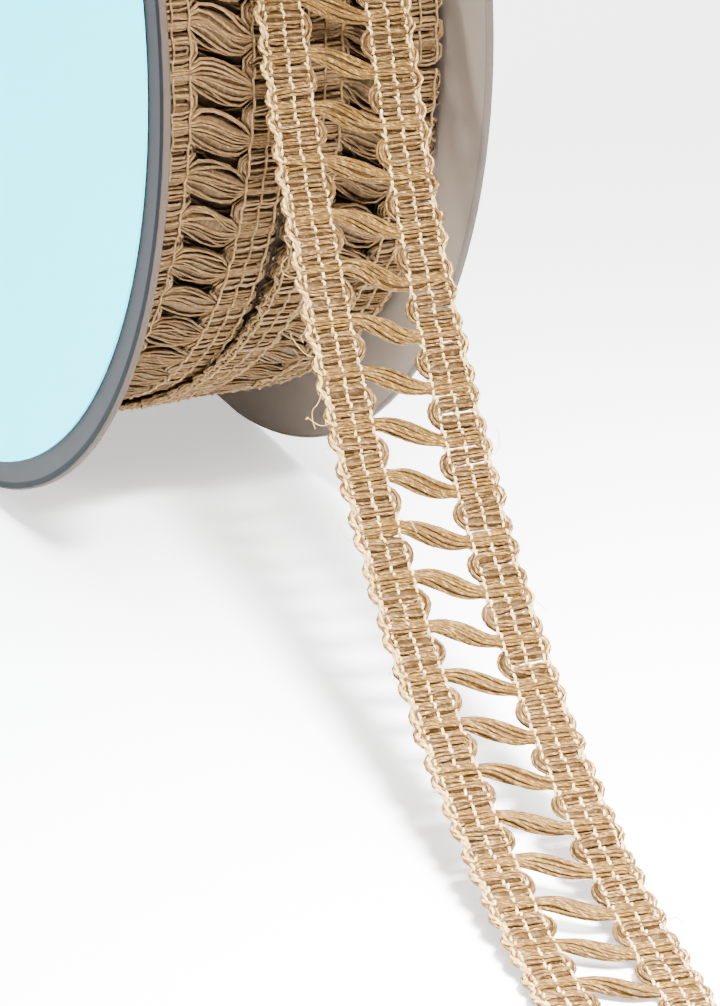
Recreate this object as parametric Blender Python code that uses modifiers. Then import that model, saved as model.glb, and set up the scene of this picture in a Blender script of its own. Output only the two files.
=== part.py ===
"""Openwork ladder braid wound in two columns on a flanged reel, its loose end hanging to the floor.

Metres, +Z up. X runs along the reel's axis, from the flange with the face card to the far
flange. The loose end falls on the -Y side. The reel stands on a flat at the foot of each flange.
"""

import math

import bmesh
import bpy
from mathutils import Matrix, Vector

# Driving sizes of the reel.
FLANGE_RADIUS = 0.1015
FLANGE_THICK = 0.0016
REEL_WIDTH = 0.0675
RIM_BEVEL = 0.0004
FLAT_DEPTH = 0.0009
BORE_RADIUS = 0.0127
BARREL_RADIUS = 0.0320
CARD_RADIUS = 0.0956
CARD_THICK = 0.0005
FIT_GAP = 0.0003

# Driving sizes of the braid. The rails' places are in braid widths from its middle line, the
# bars' slant in pitches, and their half length along the rail and bulge in rows.
BRAID_WIDTH = 0.0300
BRAID_THICK = 0.0022
BAR_PITCH = 0.00987
RAIL_RIDGE = 0.36
RAIL_INNER = 0.232
BAR_SLANT = 0.5
BAR_HALF = 0.5
BAR_BULGE = 0.3
BAR_STEPS = (0.3, 0.7)

# The wound form: two columns side by side, crowned rails with a trough between them.
WOUND_RADIUS = 0.0870
WOUND_STEPS = 90
COLUMN_STARTS = (0.0040, 0.0352)
TROUGH_DEPTH = 0.0018
EDGE_DROP = 0.0012

# The height of the reel's axis above the floor.
AXIS_HEIGHT = FLANGE_RADIUS - FLAT_DEPTH

FLANGE_SIDES = 128
BARREL_SIDES = 48

# One column's profile: place across the braid, depth below the wound radius.
COLUMN_PROFILE = (
    # across, depth
    (0.000, EDGE_DROP),
    (0.060, 0.0002),
    (0.150, 0.0000),
    (0.250, 0.0003),
    (0.290, TROUGH_DEPTH),
    (0.500, TROUGH_DEPTH * 0.8),
    (0.710, TROUGH_DEPTH),
    (0.750, 0.0003),
    (0.850, 0.0000),
    (0.940, 0.0002),
    (1.000, EDGE_DROP),
)

# The last turn on the roll, raised above the two columns as it crosses from one to the other.
# Angles are round the axis, 0 at the front and 90 at the top, falling as the braid is wound.
LAST_TURN = (
    # angle, place of its middle along the axis
    (-12.0, 0.0502),
    (-30.0, 0.0490),
    (-60.0, 0.0420),
    (-100.0, 0.0250),
    (-135.0, 0.0192),
    (-190.0, 0.0200),
    (-240.0, 0.0300),
    (-292.0, 0.0403),
)
LAST_TURN_STEPS = 72

# The last turn's section: place across it in half widths, and depth below its crest. Its
# feet are sunk in the columns.
LAST_TURN_SECTION = (
    # across, depth
    (-0.99, 0.0048),
    (-1.00, 0.0009),
    (-0.75, 0.0000),
    (-0.47, 0.0004),
    (-0.40, 0.0013),
    (0.40, 0.0013),
    (0.47, 0.0004),
    (0.75, 0.0000),
    (1.00, 0.0009),
    (0.99, 0.0048),
)

# The loose end: a bar's number, the slope of the fall there, how far it swings towards the
# card's side, and how far it is twisted.
TAIL_COURSE = (
    # bar, slope below level, swing, twist (all three in degrees)
    (-3.0, 63.5, 2.3, 0.0),
    (-1.5, 63.3, 2.3, 5.0),
    (0.0, 63.0, 2.3, 9.0),
    (5.0, 52.0, 3.4, 7.0),
    (10.0, 38.5, 5.2, 4.4),
    (15.0, 22.0, 7.2, 1.5),
    (20.0, 3.0, 8.8, 0.0),
    (21.0, 0.0, 9.0, 0.0),
    (26.5, 0.0, 9.0, 0.0),
)
TAIL_LEAVES_AT = 26.5
TAIL_LIES_FROM = -9
TAIL_ENDS = 26
TAIL_TOP_PLACE = 0.0403
TAIL_GAP = 0.0005
SLOPE_SCALES = (0.8, 1.2)

# The loose end's rows in each pitch.
ROWS = 4

# The rails' outer edge swells twice in each pitch; one number for each row.
SCALLOPS = (0.500, 0.472, 0.492, 0.466)
# The inner edge of each rail, swollen between two bars.
INNER_SWELL = (0.0, 0.0, -0.014, -0.020)

TAN = (0.52, 0.33, 0.17)
GREY = (0.30, 0.30, 0.34)
TAUPE = (0.42, 0.34, 0.27)
CYAN = (0.61, 0.93, 0.99)


def clear_scene():
    for old in list(bpy.data.objects):
        bpy.data.objects.remove(old, do_unlink=True)


def collection(name):
    made = bpy.data.collections.new(name)
    bpy.context.scene.collection.children.link(made)
    return made


def material(name, colour, roughness):
    made = bpy.data.materials.new(name)
    made.use_nodes = True
    shader = made.node_tree.nodes["Principled BSDF"]
    shader.inputs["Base Color"].default_value = (*colour, 1.0)
    shader.inputs["Roughness"].default_value = roughness
    shader.inputs["Metallic"].default_value = 0.0
    return made


def finish(bm, name, home, look):
    """Makes the object of a bmesh, in its collection and with its material."""
    bmesh.ops.recalc_face_normals(bm, faces=bm.faces)
    mesh = bpy.data.meshes.new(name)
    bm.to_mesh(mesh)
    bm.free()
    mesh.shade_smooth()
    mesh.set_sharp_from_angle(angle=math.radians(35))
    made = bpy.data.objects.new(name, mesh)
    home.objects.link(made)
    if look:
        made.data.materials.append(look)
    return made


def read_row(table, at):
    """A table's columns at one value of its first, eased between rows and never past them."""
    rows = sorted(table)
    at = min(max(at, rows[0][0]), rows[-1][0])
    i = max(k for k in range(len(rows) - 1) if rows[k][0] <= at)
    low, high = rows[i], rows[i + 1]
    share = (at - low[0]) / (high[0] - low[0])
    before = rows[max(i - 1, 0)]
    after = rows[min(i + 2, len(rows) - 1)]
    found = []
    for c in range(1, len(low)):
        span = high[0] - low[0]
        rise_in = (high[c] - before[c]) / (high[0] - before[0]) * span
        rise_out = (after[c] - low[c]) / (after[0] - low[0]) * span
        s2, s3 = share**2, share**3
        value = (
            (2 * s3 - 3 * s2 + 1) * low[c]
            + (s3 - 2 * s2 + share) * rise_in
            + (3 * s2 - 2 * s3) * high[c]
            + (s3 - s2) * rise_out
        )
        found.append(min(max(value, min(low[c], high[c])), max(low[c], high[c])))
    return found


def round_the_axis(angle, radius, along):
    """A point at an angle round the reel's axis, 0 at the front, 90 at the top."""
    turn = math.radians(angle)
    return Vector((along, -math.cos(turn) * radius, AXIS_HEIGHT + math.sin(turn) * radius))


def disc(name, home, look, radius, thick, start, sides):
    """A disc across the reel's axis, its face at start."""
    bm = bmesh.new()
    bmesh.ops.create_cone(
        bm, cap_ends=True, segments=sides, radius1=radius, radius2=radius, depth=thick
    )
    lie = Matrix.Rotation(math.radians(90), 4, "Y")
    bmesh.ops.transform(bm, matrix=lie, verts=bm.verts)
    made = finish(bm, name, home, look)
    made.location = (start + thick / 2, 0.0, AXIS_HEIGHT)
    return made


def cut(piece, cutter):
    step = piece.modifiers.new("Cut by " + cutter.name, "BOOLEAN")
    step.operation = "DIFFERENCE"
    step.solver = "EXACT"
    step.object = cutter


def as_cutter(piece):
    piece.hide_render = True
    piece.display_type = "WIRE"
    return piece


def make_cutters(home):
    bore = as_cutter(
        disc("bore_cutter", home, None, BORE_RADIUS, REEL_WIDTH * 2, -REEL_WIDTH / 2, BARREL_SIDES)
    )
    bm = bmesh.new()
    bmesh.ops.create_cube(bm, size=FLANGE_RADIUS)
    floor = as_cutter(finish(bm, "floor_cutter", home, None))
    floor.location = (REEL_WIDTH / 2, 0.0, -FLANGE_RADIUS / 2)
    return bore, floor


def make_reel(home, cutters):
    """Two flanges, the barrel between them, and the card on one face."""
    bore, floor = cutters
    board = material("flange_board", GREY, 0.5)
    inner = material("barrel_board", TAUPE, 0.7)
    paper = material("card_paper", CYAN, 0.35)
    for name, start in (("near_flange", 0.0), ("far_flange", REEL_WIDTH - FLANGE_THICK)):
        flange = disc(name, home, board, FLANGE_RADIUS, FLANGE_THICK, start, FLANGE_SIDES)
        rim = flange.modifiers.new("Rim", "BEVEL")
        rim.width = RIM_BEVEL
        rim.segments = 1
        rim.limit_method = "ANGLE"
        rim.angle_limit = math.radians(60)
        cut(flange, bore)
        cut(flange, floor)
    length = REEL_WIDTH - 2 * FLANGE_THICK - 2 * FIT_GAP
    barrel = disc(
        "barrel", home, inner, BARREL_RADIUS, length, FLANGE_THICK + FIT_GAP, BARREL_SIDES
    )
    cut(barrel, bore)
    card = disc(
        "face_card", home, paper, CARD_RADIUS, CARD_THICK, -FIT_GAP - CARD_THICK, FLANGE_SIDES
    )
    cut(card, bore)


def loft(bm, sections, ring):
    """Closed loops of points joined one to the next, round into a ring or capped."""
    loops = [[bm.verts.new(p) for p in section] for section in sections]
    pairs = list(zip(loops, loops[1:] + loops[:1] if ring else loops[1:]))
    for one, two in pairs:
        for k in range(len(one)):
            j = (k + 1) % len(one)
            bm.faces.new((one[k], one[j], two[j], two[k]))
    if not ring:
        bm.faces.new(loops[0])
        bm.faces.new(reversed(loops[-1]))


def wound_profile():
    """Places along the axis and radii of the two columns' outer surface."""
    points = []
    for start in COLUMN_STARTS:
        for across, depth in COLUMN_PROFILE:
            points.append((start + across * BRAID_WIDTH, WOUND_RADIUS - depth))
    return points


def band_section(angle, middle):
    """The last turn's section: two rails and the trough between them."""
    crest = WOUND_RADIUS + BRAID_THICK
    half = BRAID_WIDTH / 2
    return [
        round_the_axis(angle, crest - depth, middle + across * half)
        for across, depth in LAST_TURN_SECTION
    ]


def make_wound(home, cutter_home):
    """The roll: both columns, with the last turn joined on as it crosses them."""
    braid = material("wound_yarn", TAN, 0.9)
    inside = BARREL_RADIUS + FIT_GAP
    profile = wound_profile()
    profile = [(profile[0][0], inside), *profile, (profile[-1][0], inside)]
    bm = bmesh.new()
    sections = []
    for k in range(WOUND_STEPS):
        angle = 360.0 * k / WOUND_STEPS
        sections.append([round_the_axis(angle, radius, along) for along, radius in profile])
    loft(bm, sections, ring=True)
    roll = finish(bm, "wound_braid", home, braid)

    first, last = LAST_TURN[0][0], LAST_TURN[-1][0]
    bm = bmesh.new()
    sections = []
    for k in range(LAST_TURN_STEPS + 1):
        angle = first + (last - first) * k / LAST_TURN_STEPS
        sections.append(band_section(angle, read_row(LAST_TURN, angle)[0]))
    loft(bm, sections, ring=False)
    band = as_cutter(finish(bm, "last_turn", cutter_home, None))
    join = roll.modifiers.new("Last turn", "BOOLEAN")
    join.operation = "UNION"
    join.solver = "EXACT"
    join.object = band


def tail_line(scale):
    """The loose end's middle line: a list of (point, forward, twist), one for each row.

    It lies on the roll, leaves it along the tangent, and falls to the floor. Slopes are
    multiplied by scale, which settles the height at which it arrives. A bar springs from
    two rows, so each row stands half a row before or after a bar's middle.
    """
    step = BAR_PITCH / ROWS
    radius = WOUND_RADIUS + TAIL_GAP + BRAID_THICK / 2
    line = []
    leaves = round(-TAIL_COURSE[0][0])
    swing = math.radians(TAIL_COURSE[0][2])
    for k in range((-TAIL_LIES_FROM - leaves) * ROWS, -1, -1):
        back = (k + 0.5) * step
        angle = TAIL_LEAVES_AT + math.degrees(back / radius)
        turn = math.radians(angle)
        ahead = Vector((0.0, -math.sin(turn), -math.cos(turn)))
        forward = (ahead * math.cos(swing) - Vector((math.sin(swing), 0, 0))).normalized()
        along = TAIL_TOP_PLACE + back * math.sin(swing)
        line.append((round_the_axis(angle, radius, along), forward, 0.0))
    point = round_the_axis(TAIL_LEAVES_AT, radius, TAIL_TOP_PLACE) + forward * step / 2
    for k in range((TAIL_ENDS + leaves) * ROWS):
        slope, swing, twist = read_row(TAIL_COURSE, -leaves + (k + 0.5) / ROWS)
        slope = math.radians(slope * scale)
        swing = math.radians(swing)
        forward = Vector(
            (-math.sin(swing), -math.cos(slope) * math.cos(swing), -math.sin(slope) * math.cos(swing))
        )
        line.append((point.copy(), forward, math.radians(twist)))
        point += forward * step
    return line


def settle_tail():
    """The middle line whose lying end has its underside on the floor."""
    low, high = SLOPE_SCALES
    for _ in range(40):
        scale = (low + high) / 2
        drop = tail_line(scale)[-1][0].z - BRAID_THICK / 2
        if drop > 0:
            low = scale
        else:
            high = scale
    return tail_line(scale)


def across(entry, share):
    """A point on the braid's middle surface, share widths from its middle line."""
    point, forward, twist = entry
    side = Vector((1.0, 0.0, 0.0))
    side = (side - forward * side.dot(forward)).normalized()
    up = forward.cross(side)
    side = side * math.cos(twist) + up * math.sin(twist)
    return point + side * share * BRAID_WIDTH


def between(line, place):
    """The middle line's entry at a place that falls between two rows."""
    i = min(max(int(place), 0), len(line) - 2)
    share = place - i
    one, two = line[i], line[i + 1]
    return (
        one[0].lerp(two[0], share),
        one[1].lerp(two[1], share).normalized(),
        one[2] + (two[2] - one[2]) * share,
    )


def make_tail(home):
    """The loose end: two scalloped rails, and slanted bars with open gaps between them."""
    braid = material("tail_yarn", TAN, 0.9)
    line = settle_tail()
    bm = bmesh.new()
    rails = {}
    for side in (-1, 1):
        columns = []
        shift = 0 if side < 0 else ROWS // 2
        for k, entry in enumerate(line):
            edge = SCALLOPS[(k + shift) % ROWS]
            inner = RAIL_INNER + INNER_SWELL[(k + shift) % ROWS]
            places = (edge, RAIL_RIDGE, inner)
            columns.append([bm.verts.new(across(entry, side * p)) for p in places])
        for one, two in zip(columns, columns[1:]):
            for k in range(2):
                bm.faces.new((one[k], one[k + 1], two[k + 1], two[k]))
        rails[side] = columns

    slant = round(BAR_SLANT * ROWS)
    for start in range(0, len(line) - slant - 1, ROWS):
        before = (rails[-1][start][2], rails[-1][start + 1][2])
        for share in BAR_STEPS:
            eased = share * share * (3 - 2 * share)
            middle = start + BAR_HALF + slant * eased
            half = BAR_HALF + BAR_BULGE * math.sin(math.pi * share)
            place = RAIL_INNER * (2 * share - 1)
            after = tuple(
                bm.verts.new(across(between(line, middle + h), place)) for h in (-half, half)
            )
            bm.faces.new((before[0], before[1], after[1], after[0]))
            before = after
        after = (rails[1][start + slant][2], rails[1][start + slant + 1][2])
        bm.faces.new((before[0], before[1], after[1], after[0]))
    tail = finish(bm, "loose_end", home, braid)
    body = tail.modifiers.new("Thickness", "SOLIDIFY")
    body.thickness = BRAID_THICK
    body.offset = 0.0


def centre_on_floor(homes):
    """Moves everything so that the origin is under the middle of the whole box."""
    bpy.context.view_layer.update()
    graph = bpy.context.evaluated_depsgraph_get()
    corners = []
    for piece in homes[0].objects:
        shown = piece.evaluated_get(graph)
        corners += [shown.matrix_world @ v.co for v in shown.data.vertices]
    low = [min(c[i] for c in corners) for i in range(3)]
    high = [max(c[i] for c in corners) for i in range(3)]
    shift = Vector((-(low[0] + high[0]) / 2, -(low[1] + high[1]) / 2, -low[2]))
    for home in homes:
        for piece in home.objects:
            piece.location += shift


def main():
    clear_scene()
    parts = collection("braid_on_reel")
    helpers = collection("cutters")
    cutters = make_cutters(helpers)
    make_reel(parts, cutters)
    make_wound(parts, helpers)
    make_tail(parts)
    centre_on_floor((parts, helpers))


main()
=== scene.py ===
"""A reel of openwork ladder braid with its loose end on the floor, built yarn by yarn."""

import math

import bpy
import numpy as np
from mathutils import Matrix, Vector


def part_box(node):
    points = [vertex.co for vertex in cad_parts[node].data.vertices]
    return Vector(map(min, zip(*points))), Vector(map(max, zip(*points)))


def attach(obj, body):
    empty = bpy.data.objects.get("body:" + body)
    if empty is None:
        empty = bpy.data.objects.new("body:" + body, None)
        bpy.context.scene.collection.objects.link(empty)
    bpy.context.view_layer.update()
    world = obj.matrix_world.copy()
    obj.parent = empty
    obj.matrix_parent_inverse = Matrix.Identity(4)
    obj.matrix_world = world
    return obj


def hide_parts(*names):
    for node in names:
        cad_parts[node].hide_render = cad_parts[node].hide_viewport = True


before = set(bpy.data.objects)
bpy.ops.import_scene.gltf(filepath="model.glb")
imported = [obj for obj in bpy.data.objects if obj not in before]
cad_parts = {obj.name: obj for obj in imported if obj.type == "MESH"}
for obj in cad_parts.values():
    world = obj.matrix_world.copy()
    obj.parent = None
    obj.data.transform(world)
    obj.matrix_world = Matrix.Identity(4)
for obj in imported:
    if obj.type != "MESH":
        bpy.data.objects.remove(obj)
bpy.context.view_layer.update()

# The braid's own sizes, in metres, and its layout, in widths across and pitches along: the
# warp threads' places, how far out the bars' ends go, how far a bar climbs, and the weft rows
# in a pitch.
WIDTH = 0.0300
THICK = 0.0022
PITCH = 0.00987
WARPS = (0.214, 0.330, 0.446)
RAIL_REACH = 0.462
SLANT = 0.47
ROWS = 3

# The roll on its reel. A column's course is found in so many steps a bar, and runs on past both
# of its ends by so many bars; its first bar stands at this angle (degrees).
AXIS_HEIGHT = 0.1006
WOUND_RADIUS = 0.0870
COLUMN_MIDDLES = (0.0190, 0.0502)
BARS_ROUND = 55
COLUMN_FIRST_BAR = (6.1, 3.0)
COLUMN_STEPS = 8
COLUMN_PAST = 2

# The turn below each column, against it: along the axis, below the roll's face, and round it
# (degrees).
UNDER_ALONG = 0.0006
UNDER_DEPTH = 0.0031
UNDER_TURNED = 2.6

# The last turn on the roll: angle round the axis and place of its middle along it. Its course
# is found at steps of so many degrees, and stops so many pitches above the loose end's.
TURN_STEP = 1.0
TURN_STOPS = 0.5
LAST_TURN = (
    (-292.0, 0.0427),
    (-279.0, 0.0421),
    (-264.0, 0.0392),
    (-240.0, 0.0322),
    (-190.0, 0.0200),
    (-135.0, 0.0192),
    (-100.0, 0.0250),
    (-60.0, 0.0420),
    (-30.0, 0.0490),
    (-12.0, 0.0502),
)

# The loose end's course: bar, slope below level, swing, twist (degrees).
TAIL_COURSE = (
    (-3.0, 63.5, 2.3, 0.0),
    (-1.5, 63.3, 2.3, 5.0),
    (0.0, 63.0, 2.3, 9.0),
    (5.0, 52.0, 3.4, 7.0),
    (10.0, 38.5, 5.2, 4.4),
    (15.0, 22.0, 7.2, 1.5),
    (20.0, 3.0, 8.8, 0.0),
    (21.0, 0.0, 9.0, 0.0),
    (26.5, 0.0, 9.0, 0.0),
)

# Where it leaves the roll (degrees) and its place along the axis there, the bars where it
# starts to lie on the roll and where it is cut, its gap over the turn below, how many pitches
# short of the cut its threads stop, and how its course is found.
TAIL_LEAVES_AT = 26.5
TAIL_TOP_PLACE = 0.0403
TAIL_LIES_FROM = -9.0
TAIL_ENDS = 26.0
TAIL_GAP = 0.0005
CUT_SHORT = 0.25
SLOPE_SCALES = (0.8, 1.2)
SLOPE_TRIES = 30
STEPS_A_BAR = 4

# The camera: its place from the near flange's middle, in flange radii, its directions, and its
# lens and sensor in millimetres.
FLANGE_RADIUS = 0.1015
CAMERA_PLACE = (-2.9255, -6.831, 2.582)
CAMERA_AHEAD = (0.4482, 0.7763, -0.4432)
CAMERA_RIGHT = (0.8786, -0.4740, 0.0582)
LENS = 143.15
SENSOR = 36.0
CLIP_START = 0.01

NEAR_LOW, NEAR_HIGH = (np.array(c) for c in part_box("near_flange"))
ORIGIN = np.array([NEAR_LOW[0], (NEAR_LOW[1] + NEAR_HIGH[1]) / 2, 0.0])


def placed(name, data):
    """A new object in the scene, made of a mesh, a lamp or a camera."""
    made = bpy.data.objects.new(name, data)
    bpy.context.scene.collection.objects.link(made)
    return made


def camera():
    """The photo's view, found from the flanges' edges."""
    data = bpy.data.cameras.new("photo_camera")
    data.sensor_fit = "VERTICAL"
    data.sensor_height = SENSOR
    data.sensor_width = SENSOR
    data.lens = LENS
    data.clip_start = CLIP_START
    ahead = Vector(CAMERA_AHEAD).normalized()
    right = Vector(CAMERA_RIGHT).normalized()
    up = right.cross(ahead)
    turn = Matrix((right, up, -ahead)).transposed().to_4x4()
    place = Vector(ORIGIN) + Vector(CAMERA_PLACE) * FLANGE_RADIUS + Vector((0, 0, AXIS_HEIGHT))
    made = placed("photo_camera", data)
    made.matrix_world = Matrix.Translation(place) @ turn
    bpy.context.scene.camera = made


def eased(table, at):
    """A table's columns at one value of its first, eased between rows and never past them."""
    rows = sorted(table)
    at = min(max(at, rows[0][0]), rows[-1][0])
    i = max(k for k in range(len(rows) - 1) if rows[k][0] <= at)
    low, high = rows[i], rows[i + 1]
    before, after = rows[max(i - 1, 0)], rows[min(i + 2, len(rows) - 1)]
    span = high[0] - low[0]
    t = (at - low[0]) / span
    found = []
    for c in range(1, len(low)):
        m0 = (high[c] - before[c]) / (high[0] - before[0]) * span
        m1 = (after[c] - low[c]) / (after[0] - low[0]) * span
        value = (
            (2 * t**3 - 3 * t**2 + 1) * low[c]
            + (t**3 - 2 * t**2 + t) * m0
            + (3 * t**2 - 2 * t**3) * high[c]
            + (t**3 - t**2) * m1
        )
        found.append(min(max(value, min(low[c], high[c])), max(low[c], high[c])))
    return found


class Course:
    """The braid's middle surface: a place for each (pitches along, widths across, height)."""

    def __init__(self, places, points, sides, normals):
        self.places = np.array(places)
        self.points = np.array(points)
        self.sides = np.array(sides)
        self.normals = np.array(normals)

    def at(self, s, v, h):
        """Points in metres, from pitches along, widths across and metres above the middle."""
        s = np.asarray(s, float)
        frames = [
            np.stack([np.interp(s, self.places, a[:, i]) for i in range(3)], axis=-1)
            for a in (self.points, self.sides, self.normals)
        ]
        return frames[0] + frames[1] * (v * WIDTH)[..., None] + frames[2] * h[..., None]


def on_roll(angle, radius, along):
    """A place on the roll; the angle is from the front, up over the top, in degrees."""
    turn = math.radians(angle)
    return ORIGIN + np.array(
        (along, -math.cos(turn) * radius, AXIS_HEIGHT + math.sin(turn) * radius)
    )


def column_course(middle, radius, first_bar):
    """One turn of a column, a full circle of whole pitches."""
    places, points, sides, normals = [], [], [], []
    end = (BARS_ROUND + COLUMN_PAST) * COLUMN_STEPS
    for k in range(-COLUMN_PAST * COLUMN_STEPS, end + 1):
        s = k / COLUMN_STEPS
        angle = first_bar - 360.0 * s / BARS_ROUND
        turn = math.radians(angle)
        places.append(s)
        points.append(on_roll(angle, radius, middle))
        sides.append((1.0, 0.0, 0.0))
        normals.append((0.0, -math.cos(turn), math.sin(turn)))
    return Course(places, points, sides, normals)


def side_and_normal(forward, twist):
    """The directions across the braid and off its face where it runs forward, twisted."""
    side = np.array((1.0, 0.0, 0.0))
    side = side - forward * side.dot(forward)
    side /= np.linalg.norm(side)
    up = np.cross(forward, side)
    return (
        side * math.cos(twist) + up * math.sin(twist),
        up * math.cos(twist) - side * math.sin(twist),
    )


def tail_steps(scale, per_pitch):
    """Entries (place, point, forward, twist) from the last turn on the roll to the cut end."""
    entries = []
    step = PITCH / per_pitch
    radius = WOUND_RADIUS + TAIL_GAP + THICK / 2
    leaves = TAIL_COURSE[0][0]
    swing = math.radians(TAIL_COURSE[0][2])
    for k in range(round((leaves - TAIL_LIES_FROM) * per_pitch), 0, -1):
        angle = TAIL_LEAVES_AT + math.degrees(k * step / radius)
        turn = math.radians(angle)
        ahead = np.array((0.0, -math.sin(turn), -math.cos(turn)))
        forward = ahead * math.cos(swing) - np.array((math.sin(swing), 0, 0))
        along = TAIL_TOP_PLACE + k * step * math.sin(swing)
        entries.append((leaves - k / per_pitch, on_roll(angle, radius, along), forward, 0.0))
    point = on_roll(TAIL_LEAVES_AT, radius, TAIL_TOP_PLACE)
    for k in range(round((TAIL_ENDS - leaves) * per_pitch) + 1):
        s = leaves + k / per_pitch
        slope, swing, twist = eased(TAIL_COURSE, s)
        slope = math.radians(slope * scale)
        swing = math.radians(swing)
        level = math.cos(swing)
        forward = np.array(
            (-math.sin(swing), -math.cos(slope) * level, -math.sin(slope) * level)
        )
        entries.append((s, point.copy(), forward, math.radians(twist)))
        point = point + forward * step
    return entries


def tail_course():
    """The last turn on the roll, run on into the loose end that falls to the floor."""
    low, high = SLOPE_SCALES
    for _ in range(SLOPE_TRIES):
        scale = (low + high) / 2
        if tail_steps(scale, STEPS_A_BAR)[-1][1][2] > THICK / 2:
            low = scale
        else:
            high = scale
    loose = tail_steps(scale, STEPS_A_BAR)
    radius = WOUND_RADIUS + THICK / 2
    turn = []
    s = loose[0][0] - TURN_STOPS
    for angle in np.arange(LAST_TURN[0][0], LAST_TURN[-1][0] + TURN_STEP / 2, TURN_STEP):
        point = on_roll(angle, radius, eased(LAST_TURN, angle)[0])
        if turn:
            s -= np.linalg.norm(point - turn[-1][1]) / PITCH
        turn.append((s, point))
    turn.reverse()
    entries = []
    for k, (s, point) in enumerate(turn):
        way = turn[min(k + 1, len(turn) - 1)][1] - turn[max(k - 1, 0)][1]
        entries.append((s, point, way / np.linalg.norm(way), 0.0))
    entries += loose
    frames = [side_and_normal(forward, twist) for _, _, forward, twist in entries]
    return Course(
        [entry[0] for entry in entries],
        [entry[1] for entry in entries],
        [side for side, _ in frames],
        [normal for _, normal in frames],
    )


# Added to the length along a bundle's inside, to mark it for the painted shade that its yarn's
# material puts there.
SHADED_CORE_MARK = 8.0

# One turn round a strand, in its own unit of the map across: where it starts, its share.
TURN_STARTS = 0.02
TURN_SHARE = 0.9


class Tubes:
    """Many yarns gathered into one mesh."""

    def __init__(self):
        self.verts, self.loops, self.sizes, self.uvs = [], [], [], []
        self.base = 0
        self.strand = 0

    def add(self, lines, radius, shared_up, sides):
        """Adds yarns: lines is (yarns, points, 3), radius their thickness halved."""
        lines = np.asarray(lines, float)
        ahead = np.gradient(lines, axis=1)
        ahead /= np.linalg.norm(ahead, axis=2, keepdims=True) + 1e-12
        one = np.cross(ahead, shared_up)
        one /= np.linalg.norm(one, axis=2, keepdims=True) + 1e-12
        two = np.cross(one, ahead)
        turn = np.arange(sides) * 2 * np.pi / sides
        ring = lines[:, :, None] + radius * (
            one[:, :, None] * np.cos(turn)[:, None] + two[:, :, None] * np.sin(turn)[:, None]
        )
        self.add_rings(ring)

    def add_rings(self, ring, core_shade=0.0):
        """Adds closed tubes from their rings of points: (yarns, rings, sides, 3).

        The last argument is added to their length along, to mark a bundle's inside for the
        painted shade its material puts there.
        """
        many, long, sides = ring.shape[:3]
        lines = ring.mean(axis=2)
        self.verts.append(ring.reshape(-1, 3))
        i = np.arange(long - 1)[:, None] * sides
        j = np.arange(sides)[None]
        k = (j + 1) % sides
        quad = np.stack([i + j, i + k, i + sides + k, i + sides + j], axis=-1).reshape(-1, 4)
        ends = np.stack([np.arange(sides)[::-1], np.arange(sides) + (long - 1) * sides])
        start = self.base + np.arange(many)[:, None, None] * long * sides
        self.loops += [(quad[None] + start).ravel(), (ends[None] + start).ravel()]
        self.sizes += [np.full(many * len(quad), 4), np.full(many * 2, sides)]
        steps = np.linalg.norm(np.diff(lines, axis=1), axis=2)
        along = np.concatenate([np.zeros((many, 1)), np.cumsum(steps, axis=1)], axis=1) + core_shade
        shape = (many, long - 1, sides)
        strand = (self.strand + np.arange(many))[:, None, None]
        turn = strand + TURN_SHARE * j[None] / sides + TURN_STARTS
        low = np.broadcast_to(turn, shape)
        turn = strand + TURN_SHARE * (j[None] + 1) / sides + TURN_STARTS
        high = np.broadcast_to(turn, shape)
        here = np.broadcast_to(along[:, :-1, None], shape)
        there = np.broadcast_to(along[:, 1:, None], shape)
        corners = [(here, low), (here, high), (there, high), (there, low)]
        self.uvs.append(np.stack([np.stack(c, -1) for c in corners], axis=-2).reshape(-1, 2))
        self.uvs.append(np.zeros((many * 2 * sides, 2)))
        self.base += many * long * sides
        self.strand += many

    def object(self, name, look):
        """All the yarns as one object, with their map named yarn."""
        verts = np.concatenate(self.verts)
        loops = np.concatenate(self.loops)
        sizes = np.concatenate(self.sizes)
        mesh = bpy.data.meshes.new(name)
        mesh.vertices.add(len(verts))
        mesh.vertices.foreach_set("co", verts.ravel())
        mesh.loops.add(len(loops))
        mesh.loops.foreach_set("vertex_index", loops)
        mesh.polygons.add(len(sizes))
        mesh.polygons.foreach_set("loop_start", np.cumsum(sizes) - sizes)
        mesh.polygons.foreach_set("use_smooth", np.ones(len(sizes), bool))
        mesh.update(calc_edges=True)
        layer = mesh.uv_layers.new(name="yarn")
        layer.data.foreach_set("uv", np.concatenate(self.uvs).ravel())
        mesh.validate()
        mesh.materials.append(look)
        return placed(name, mesh)


# Half a row's height at a warp thread and between two, how soon a row swells past a warp, how
# far the inside of a bundle is turned, how far strands go round past the middle on the roll,
# how unevenly they are spread (of a strand's share), and how they wander: in how many half
# waves, from where.
ROW_HIGH = (0.00056, 0.00100)
SWELL_POWER = 0.5
CORE_TURN = 0.3
PAST_MIDDLE = 0.20
SPREAD_UNEVEN = 0.5
WANDER_WAVES = (1.0, 2.6)
WANDER_STARTS = (0, 6.3)


def barrel_swell(v, rest, full):
    """How wide or high a weft row stands: rest at each warp thread, full between two."""
    v = np.abs(v)
    swell = np.zeros_like(v)
    for a, b in zip(WARPS, WARPS[1:]):
        t = (v - a) / (b - a)
        arch = np.sin(np.pi * np.clip(t, 0, 1)) ** SWELL_POWER
        swell = np.where((t > 0) & (t < 1), arch, swell)
    return rest + (full - rest) * swell


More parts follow.
